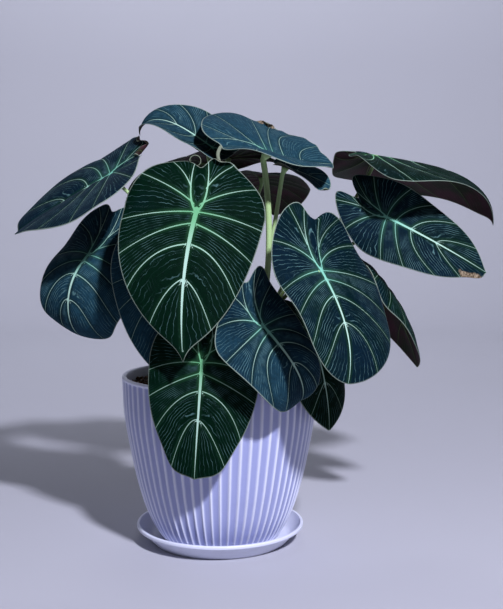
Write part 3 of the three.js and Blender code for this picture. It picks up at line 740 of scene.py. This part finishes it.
def curl_mesh(key, rows=72, sides=14):
    """A ribbon that leaves the margin and winds in the plane facing the viewer: its middle line is a spiral
    whose radius changes evenly with its angle, its section a flat oval, and it thins towards its end."""
    at, radii, angles, half = CURLS[key]
    start = leaf_middle(leaf_of(key), np.ones(1), np.radians([at]))
    share = np.linspace(0, 1, rows)[:, None, None]
    angle = np.radians(angles[0] + (angles[1] - angles[0]) * share)
    radial = np.concatenate([np.cos(angle), 0 * angle, np.sin(angle)], -1)
    line = radial * (radii[0] + (radii[1] - radii[0]) * share)
    around = circle(sides)[:, None]
    oval = half[0] * np.cos(around) * radial + half[1] * np.sin(around) * np.array([0.0, -1.0, 0.0])
    taper = np.sqrt(np.clip(1 - share ** 3, 0.02, 1))
    rings = start + line - line[:1] + taper * oval
    rim = np.append(np.tile(half[1] * (1 - np.sin(around[:, 0])), rows), (half[1], half[1]))
    return ringed_mesh(f"curl_{key}", rings, [rings[0].mean(0), rings[-1].mean(0)],
                       dict(vein_side=0 * rim + 10, vein_gap=0 * rim + 10, margin_gap=rim),
                       flip=angles[1] > angles[0])


def stem_path(key, count):
    """Evenly spaced points from inside the soil to just under the leaf's hub, and their lengths along it."""
    foot, guides, _ = STEMS[key]
    leaf = leaf_of(key)
    up = leaf_axes(leaf)[2]
    hub = np.array(leaf["hub"], float)
    curve = bezier([(*foot, SOIL_Z + STEM_RISE), *guides, hub - STEM_TURN * up], np.linspace(0, 1, 400))
    whole = np.concatenate([[(*foot, SOIL_Z - STEM_DEPTH)], curve, [hub - STEM_END * up]])
    lengths = np.concatenate([[0], np.cumsum(np.linalg.norm(np.diff(whole, axis=0), axis=1))])
    even = np.linspace(0, lengths[-1], count)
    return np.stack([np.interp(even, lengths, whole[:, k]) for k in range(3)], -1), even


def stem_mesh(key, settings):
    """A tube along the stem's path: thick and sheathed at the foot, slim in the middle, and flaring into
    the blade, with a shallow groove along the side that faces up. Its rings stand square to the path."""
    path, along = stem_path(key, settings.steps)
    total = along[-1]
    share = along / total
    foot, middle, top = STEMS[key][2]
    sheath = np.clip(1 - along / SHEATH_LENGTH, 0, 1)
    radius = middle + (foot - middle) * sheath ** 0.6 + (top - middle) * share ** 2
    radius = radius + FLARE * middle * np.clip(1 - (total - along) / FLARE_LENGTH, 0, 1) ** 2
    tangent = unit(np.gradient(path, axis=0))
    across = unit(np.cross(tangent, np.cross(np.array([1.0, 0, 0]), tangent)))
    other = np.cross(tangent, across)
    angle = circle(settings.sides)
    groove = 1 - GROOVE * np.exp(-((angle - np.pi / 2) / 0.4) ** 2)
    ring = radius[:, None] * groove * (1 + SHEATH_OVAL * sheath[:, None] * np.cos(2 * angle))
    points = path[:, None] + ring[..., None] * (np.cos(angle)[:, None] * across[:, None]
                                                + np.sin(angle)[:, None] * other[:, None])
    space = polar(1, angle, along[:, None]).reshape(-1, 3)
    edge = sheath[:, None] * np.exp(-((angle - np.pi / 2) / 0.5) ** 2)
    values = dict(stem_space=np.concatenate([space, [(0, 0, 0), (0, 0, total)]]),
                  stem_share=np.append(np.repeat(share, settings.sides), (0, 1)),
                  sheath_edge=np.append(edge, (0, 0)))
    return ringed_mesh(f"petiole_{key}", points, path[[0, -1]], values)


def pot_radius(levels):
    """Outer radius of the pot on a curve that passes its profile with slopes averaged from its neighbours."""
    z, r = np.array(POT_PROFILE, float).T
    slope = np.gradient(r, z)
    i = np.clip(np.searchsorted(z, levels) - 1, 0, len(z) - 2)
    span = z[i + 1] - z[i]
    t = (levels - z[i]) / span
    return ((1 + 2 * t) * (1 - t) ** 2 * r[i] + t * (1 - t) ** 2 * span * slope[i]
            + t * t * (3 - 2 * t) * r[i + 1] + t * t * (t - 1) * span * slope[i + 1])


def turned(profile, columns, radius_change=0):
    """Rings of a turned shape from its profile of radius and level, at even angles or at given ones. A
    change may be added to the radius."""
    angle = circle(columns) if np.isscalar(columns) else columns
    radius = profile[:, :1] + radius_change
    return polar(radius, angle, profile[:, 1:])


def turned_mesh(name, rings, flute=None):
    """A closed turned skin, with a point on the axis at each end of its profile."""
    poles = [(0, 0, rings[0, 0, 2]), (0, 0, rings[-1, 0, 2])]
    sunk = np.zeros(rings[..., 0].shape) if flute is None else flute
    return ringed_mesh(name, rings, poles, dict(flute=np.append(sunk, (0, 0))))


def rounded(centre, radius, start, end, count=6):
    """Points of a small arc in a profile, from one angle to the other in degrees."""
    return centre + polar(radius, np.radians(np.linspace(start, end, count)))


def pot_mesh(settings):
    """A turned wall whose outside sinks between narrow ribs: within one rib's pitch the depth rises fast
    beside the rib and then follows a shallow hollow. The flutes fade at the base and under the rim."""
    ribs, depth = settings.rib_count, settings.rib_depth
    points = np.array(RIB_POINTS)
    near = np.abs((points + 0.5) % 1 - 0.5)
    flute = depth * (0.6 * (1 - np.exp(-(near / 0.13) ** 2)) + 0.4 * np.sin(np.pi * near))
    levels = np.concatenate([[FOOT_Z + 0.8, 5, 6], np.linspace(7, RIM_Z - 5, 46),
                             RIM_Z - np.array([4, 3.2, 2.6, 2.1, 1.6])])
    outer = np.stack([pot_radius(levels), levels], -1)
    base = np.array([(12, FOOT_Z), (30, FOOT_Z), (FOOT_R - 3.4, FOOT_Z), (FOOT_R - 0.8, FOOT_Z)])
    lip_z, lip_r = RIM_Z - RIM_ROUND, RIM_R - POT_WALL - depth + RIM_ROUND
    lip = np.concatenate([rounded((RIM_R - RIM_ROUND, lip_z), RIM_ROUND, 0, 90),
                          rounded((lip_r, lip_z), RIM_ROUND, 90, 180)])
    floor_z = FOOT_Z + POT_FLOOR
    levels = np.linspace(RIM_Z - 3, floor_z + 3, 14)
    inside = np.stack([pot_radius(levels) - depth - POT_WALL, levels], -1)
    floor = np.array([(inside[-1, 0] - 3, floor_z), (30, floor_z), (12, floor_z)])
    profile = np.concatenate([base, outer, lip, inside, floor])
    fade = np.clip((profile[:, 1] - 4) / 3, 0, 1) * np.clip((RIM_Z - 1.7 - profile[:, 1]) / 1.6, 0, 1)
    fade[:len(base)] = 0
    fade[len(base) + len(outer):] = 0
    sunk = fade[:, None] * np.tile(flute, ribs)
    columns = (np.arange(ribs)[:, None] + points).ravel() * TAU / ribs
    # The flute depth share is carried to the plastic, which uses it to paint shade into the flutes.
    return turned_mesh("pot", turned(profile, columns, -sunk), sunk / flute.max())


def cut_holes(mesh, cutters):
    """The mesh less the cutters, by solid cuts that are baked into it."""
    body = new_object("cut_body", mesh)
    tools = [new_object("cutter", cutter) for cutter in cutters]
    for tool in tools:
        cut = body.modifiers.new("cut", "BOOLEAN")
        cut.operation, cut.solver, cut.object = "DIFFERENCE", "MANIFOLD", tool
    bpy.context.view_layer.update()
    result = bpy.data.meshes.new_from_object(body.evaluated_get(bpy.context.evaluated_depsgraph_get()))
    for thing in (body, *tools):
        bpy.data.objects.remove(thing)
    result.materials.clear()
    return result


def saucer_mesh():
    """A turned dish: flat foot, wall flaring to a rolled lip, and a dished floor with a low ring."""
    foot, rim, top, floor = SAUCER_FOOT_R, SAUCER_RIM_R, SAUCER_H, SAUCER_FLOOR
    profile = np.concatenate([
        [(20, 0), (40, 0), (foot - 1.4, 0)],
        rounded((foot - 1.4, 1.4), 1.4, -90, -35, 5),
        [(foot + 2.2, 3.2), (foot + 6.4, 7.8), (foot + 8.6, 10.2), (rim - 2.2, 11.2)],
        rounded((rim - 1.1, top - 1.9), 1.1, -80, 0, 5),
        rounded((rim - 0.9, top - 0.9), 0.9, 0, 90, 5),
        rounded((rim - SAUCER_WALL, top - 0.6), 0.6, 90, 180, 4),
        [(foot + 6.6, 9.6), (foot + 3.0, 5.2), (foot + 0.4, 3.4), (foot - 2, floor),
         (47, floor), (30, floor - 0.2), (10, floor - 0.2)],
    ])
    return turned_mesh("saucer", turned(profile, 168))


def soil_limit(levels):
    """Radius that the mix and its crumbs keep within, but for their own gaps."""
    return pot_radius(levels) - POT_WALL - SOIL_CLEARANCE


def soil_surface(x, y):
    """Height of the potting mix: a low mound with uneven clods, the sum of small waves that cross in chance
    directions, from long ones to short ones that are as steep."""
    lengths = np.geomspace(*CLOD_LENGTHS, CLOD_WAVES)
    heading, start = np.random.default_rng(5).uniform(0, TAU, (2, CLOD_WAVES))
    phase = (x[..., None] * np.cos(heading) + y[..., None] * np.sin(heading)) * TAU / lengths + start
    clods = (np.sin(phase) * lengths).sum(-1) / lengths.sum()
    return SOIL_Z - 0.6 + SOIL_MOUND * np.exp(-(x * x + y * y) / MOUND_WIDTH ** 2) + CLOD_HEIGHT * clods


def soil_mesh():
    """The body of mix: floor and wall inside the pot, and the uneven surface as rings closing on the axis."""
    floor = FOOT_Z + POT_FLOOR + 2 * GAP
    levels = np.linspace(floor + 2, SOIL_Z - 2, 12)
    wall = np.stack([soil_limit(levels) - 2 * GAP, levels], -1)
    base = np.array([(10, floor), (wall[0, 0] - 2, floor)])
    radii = np.linspace(wall[-1, 0], 1.5, 60)
    rings = turned(np.concatenate([base, wall, np.stack([radii, np.full(60, SOIL_Z)], -1)]), 240)
    top = rings[len(base) + len(wall):]
    top[..., 2] = soil_surface(top[..., 0], top[..., 1])
    return ringed_mesh("soil_mix", rings, [(0, 0, floor), (0, 0, top[-1, :, 2].mean())])


def crumb_mesh(name, count, sizes, seed):
    """Loose bits: each a small ball of rings pulled out of round by chance, turned and laid on the soil."""
    chance = np.random.default_rng(seed)
    rows, columns = 4, 7
    tilt = np.linspace(0.2, 0.8, rows)[:, None] * np.pi
    ball = polar(np.sin(tilt), circle(columns), -np.cos(tilt)).reshape(-1, 3)
    ball = np.concatenate([ball, [(0, 0, -1), (0, 0, 1)]])
    bits = ball * chance.uniform(0.72, 1.2, (count, len(ball), 1)) * chance.uniform(*sizes, (count, 1, 1))
    bits = bits * chance.uniform((0.8, 0.5, 0.3), (1.5, 0.9, 0.7), (count, 1, 3))
    turns = np.linalg.qr(chance.normal(size=(count, 3, 3)))[0]
    turns *= np.sign(np.linalg.det(turns))[:, None, None]
    bits = np.einsum("nvi,nij->nvj", bits, turns)
    radius = (soil_limit(SOIL_Z) - 3) * np.sqrt(chance.uniform(0, 1, count))
    x, y = polar(radius, chance.uniform(0, TAU, count)).T
    bits += np.stack([x, y, soil_surface(x, y) + 0.3], -1)[:, None]
    step = len(ball) * np.arange(count)[:, None, None]
    faces = [(ring + step).reshape(-1, ring.shape[1]) for ring in stack_faces(rows, columns)]
    return make_mesh(name, bits.reshape(-1, 3), faces)


# Operators

class MakeSaucer(Operator):
    """Turn the saucer with its rolled lip"""
    bl_idname = "alocasia.make_saucer"
    bl_label = "Saucer"

    def execute(self, context):
        plastic = plastic_material("saucer_plastic", context.scene.alocasia_pot)
        add_piece("drip_saucer", saucer_mesh(), [plastic], "white_plastic", "saucer")
        return {"FINISHED"}


class MakePot(Operator):
    """Turn the ribbed pot and cut its drain holes"""
    bl_idname = "alocasia.make_pot"
    bl_label = "Ribbed pot"

    def execute(self, context):
        settings = context.scene.alocasia_pot
        plug = np.array([(DRAIN_R, FOOT_Z - 2), (DRAIN_R, FOOT_Z + POT_FLOOR + 2)], float)
        cutters = []
        for angle in circle(DRAIN_COUNT):
            rings = turned(plug, 24)
            rings[..., :2] += polar(DRAIN_RING_R, angle)
            cutters.append(ringed_mesh("drain", rings, rings.mean(1)))
        mesh = cut_holes(pot_mesh(settings), cutters)
        add_piece("ribbed_pot", mesh, [plastic_material("pot_plastic", settings)], "white_plastic", "pot")
        return {"FINISHED"}


class MakeSoil(Operator):
    """Fill the pot with mix and strew crumbs of bark and grit over it"""
    bl_idname = "alocasia.make_soil"
    bl_label = "Potting mix"

    def execute(self, context):
        settings = context.scene.alocasia_soil
        mix = soil_material("damp_mix", settings.colour)
        add_piece("potting_mix", soil_mesh(), [mix], "potting_mix", "soil")
        for name, count, sizes, seed, colour in (
                ("bark_crumbs", settings.crumbs, (1.0, 3.0), 11, srgb(96, 66, 44)),
                ("white_grit", settings.crumbs // 8, (0.6, 1.5), 12, srgb(196, 190, 178))):
            bits = crumb_mesh(name, count, sizes, seed)
            add_piece(name, bits, [soil_material(name, colour)], "potting_mix")
        return {"FINISHED"}


class MakeStems(Operator):
    """Draw the sixteen stems from the soil to their leaves"""
    bl_idname = "alocasia.make_stems"
    bl_label = "Stems"

    def execute(self, context):
        settings = context.scene.alocasia_stem
        fresh = stem_material("green_stem", settings.colour)
        # A darker copy of the stem material for the stems of h and i: painted shade.
        shaded = stem_material("olive_stem", settings.shaded_colour)
        for key in STEMS:
            skin = [shaded if key in SHADED_STEMS else fresh]
            add_piece(f"petiole_{key}", stem_mesh(key, settings), skin, "green_petiole", f"stem_{key}")
        return {"FINISHED"}


class MakeLeaves(Operator):
    """Spread the sixteen veined velvet leaves"""
    bl_idname = "alocasia.make_leaves"
    bl_label = "Leaves"

    def execute(self, context):
        settings = context.scene.alocasia_leaf
        # Leaves with a low tone take the deep copy of the velvet. The others take the silvery copy, which has
        # a little sheen and stronger fine veins. Because the tone is partly painted light, these are partly
        # lit and shaded copies of one velvet.
        deep = velvet_top_material("deep_velvet_top", settings, 0.0, 0.33, srgb(92, 172, 112))
        silvery = velvet_top_material("silvery_velvet_top", settings, 0.03, 0.46, srgb(120, 200, 176))
        under = velvet_under_material(settings)
        for key in LEAVES:
            skin = [deep if leaf_of(key)["tone"] < 0.3 else silvery, under]
            add_piece(f"leaf_{key}", blade_mesh(key, settings), skin, "velvet_leaf", f"blade_{key}")
        for key in CURLS:
            add_piece(f"leaf_{key}_curl", curl_mesh(key), [under], "velvet_leaf")
        return {"FINISHED"}


class MakeStage(Operator):
    """Set the pale floor, the soft lights and the camera"""
    bl_idname = "alocasia.make_stage"
    bl_label = "Stage"

    def execute(self, context):
        scene = context.scene
        settings = scene.alocasia_stage
        # A round floor that bends up into a wall, at its full height behind the plant and low before it
        flat, bend, wall, columns = 1500, 700, 2600, 96
        curve = rounded((flat, bend), bend, -90, 0, 16)
        rings = turned(np.concatenate([[(200, 0), (flat, 0)], curve, [(flat + bend, wall)]]), columns)
        rings[..., 2] *= np.clip(0.3 + 3 * np.sin(circle(columns)), 0, 1)
        quads, fans = stack_faces(len(rings), columns, flip=True)
        mesh = make_mesh("floor", np.append(rings.reshape(-1, 3), [(0, 0, 0)], 0), (quads, fans[:columns]))
        new_object("floor", mesh)
        paper = Sheet("pale_paper")
        colour = paper.blend(paper.noise(3), settings.floor, dimmed(0.97, settings.floor))
        mesh.materials.append(paper.finish(colour, 0.85))

        for name, (place, aim, size, power, colour) in LAMPS.items():
            data = bpy.data.lights.new(name, "AREA")
            data.shape, data.size, data.energy, data.color = "DISK", size, getattr(settings, power), colour
            light = new_object(name, data)
            light.location = place
            x, y, z = np.subtract(aim, place)
            light.rotation_euler = math.atan2(math.hypot(x, y), -z), 0, math.atan2(x, -y) + math.pi
        world = scene.world = scene.world or bpy.data.worlds.new("World")
        world.use_nodes = True
        sky = world.node_tree.nodes["Background"]
        sky.inputs["Color"].default_value = (0.80, 0.82, 0.90, 1)
        sky.inputs["Strength"].default_value = 0.04
        scene.view_settings.view_transform = "Standard"

        view = bpy.data.cameras.new("camera")
        view.sensor_fit, view.sensor_width = "HORIZONTAL", SENSOR
        view.lens = SENSOR * FRAME_DISTANCE / FRAME_WIDTH
        camera = scene.camera = new_object("camera", view)
        camera.location = CAMERA_PLACE
        camera.rotation_euler = math.radians(90 - CAMERA_TILT), 0, -math.radians(CAMERA_TURN)
        return {"FINISHED"}


class AlocasiaPanel(Panel):
    bl_idname = "VIEW3D_PT_alocasia"
    bl_label = "Potted alocasia"
    bl_space_type = "VIEW_3D"
    bl_region_type = "UI"
    bl_category = "Alocasia"

    def draw(self, context):
        for name, group, makers in SECTIONS:
            box = self.layout.box()
            for setting in group.__annotations__:
                box.prop(getattr(context.scene, name), setting)
            for maker in makers:
                box.operator(maker.bl_idname)


SECTIONS = (
    ("alocasia_pot", PotSettings, (MakeSaucer, MakePot)),
    ("alocasia_soil", SoilSettings, (MakeSoil,)),
    ("alocasia_stem", StemSettings, (MakeStems,)),
    ("alocasia_leaf", LeafSettings, (MakeLeaves,)),
    ("alocasia_stage", StageSettings, (MakeStage,)),
)
CLASSES = [*(kind for _, group, makers in SECTIONS for kind in (group, *makers)), AlocasiaPanel]


def register():
    for kind in CLASSES:
        bpy.utils.register_class(kind)
    for name, group, _ in SECTIONS:
        setattr(bpy.types.Scene, name, PointerProperty(type=group))


def unregister():
    for name, _, _ in SECTIONS:
        delattr(bpy.types.Scene, name)
    for kind in reversed(CLASSES):
        bpy.utils.unregister_class(kind)


def main():
    register()
    for maker in ("saucer", "pot", "soil", "stems", "leaves", "stage"):
        getattr(bpy.ops.alocasia, f"make_{maker}")()
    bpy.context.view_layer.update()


if __name__ == "__main__":
    main()
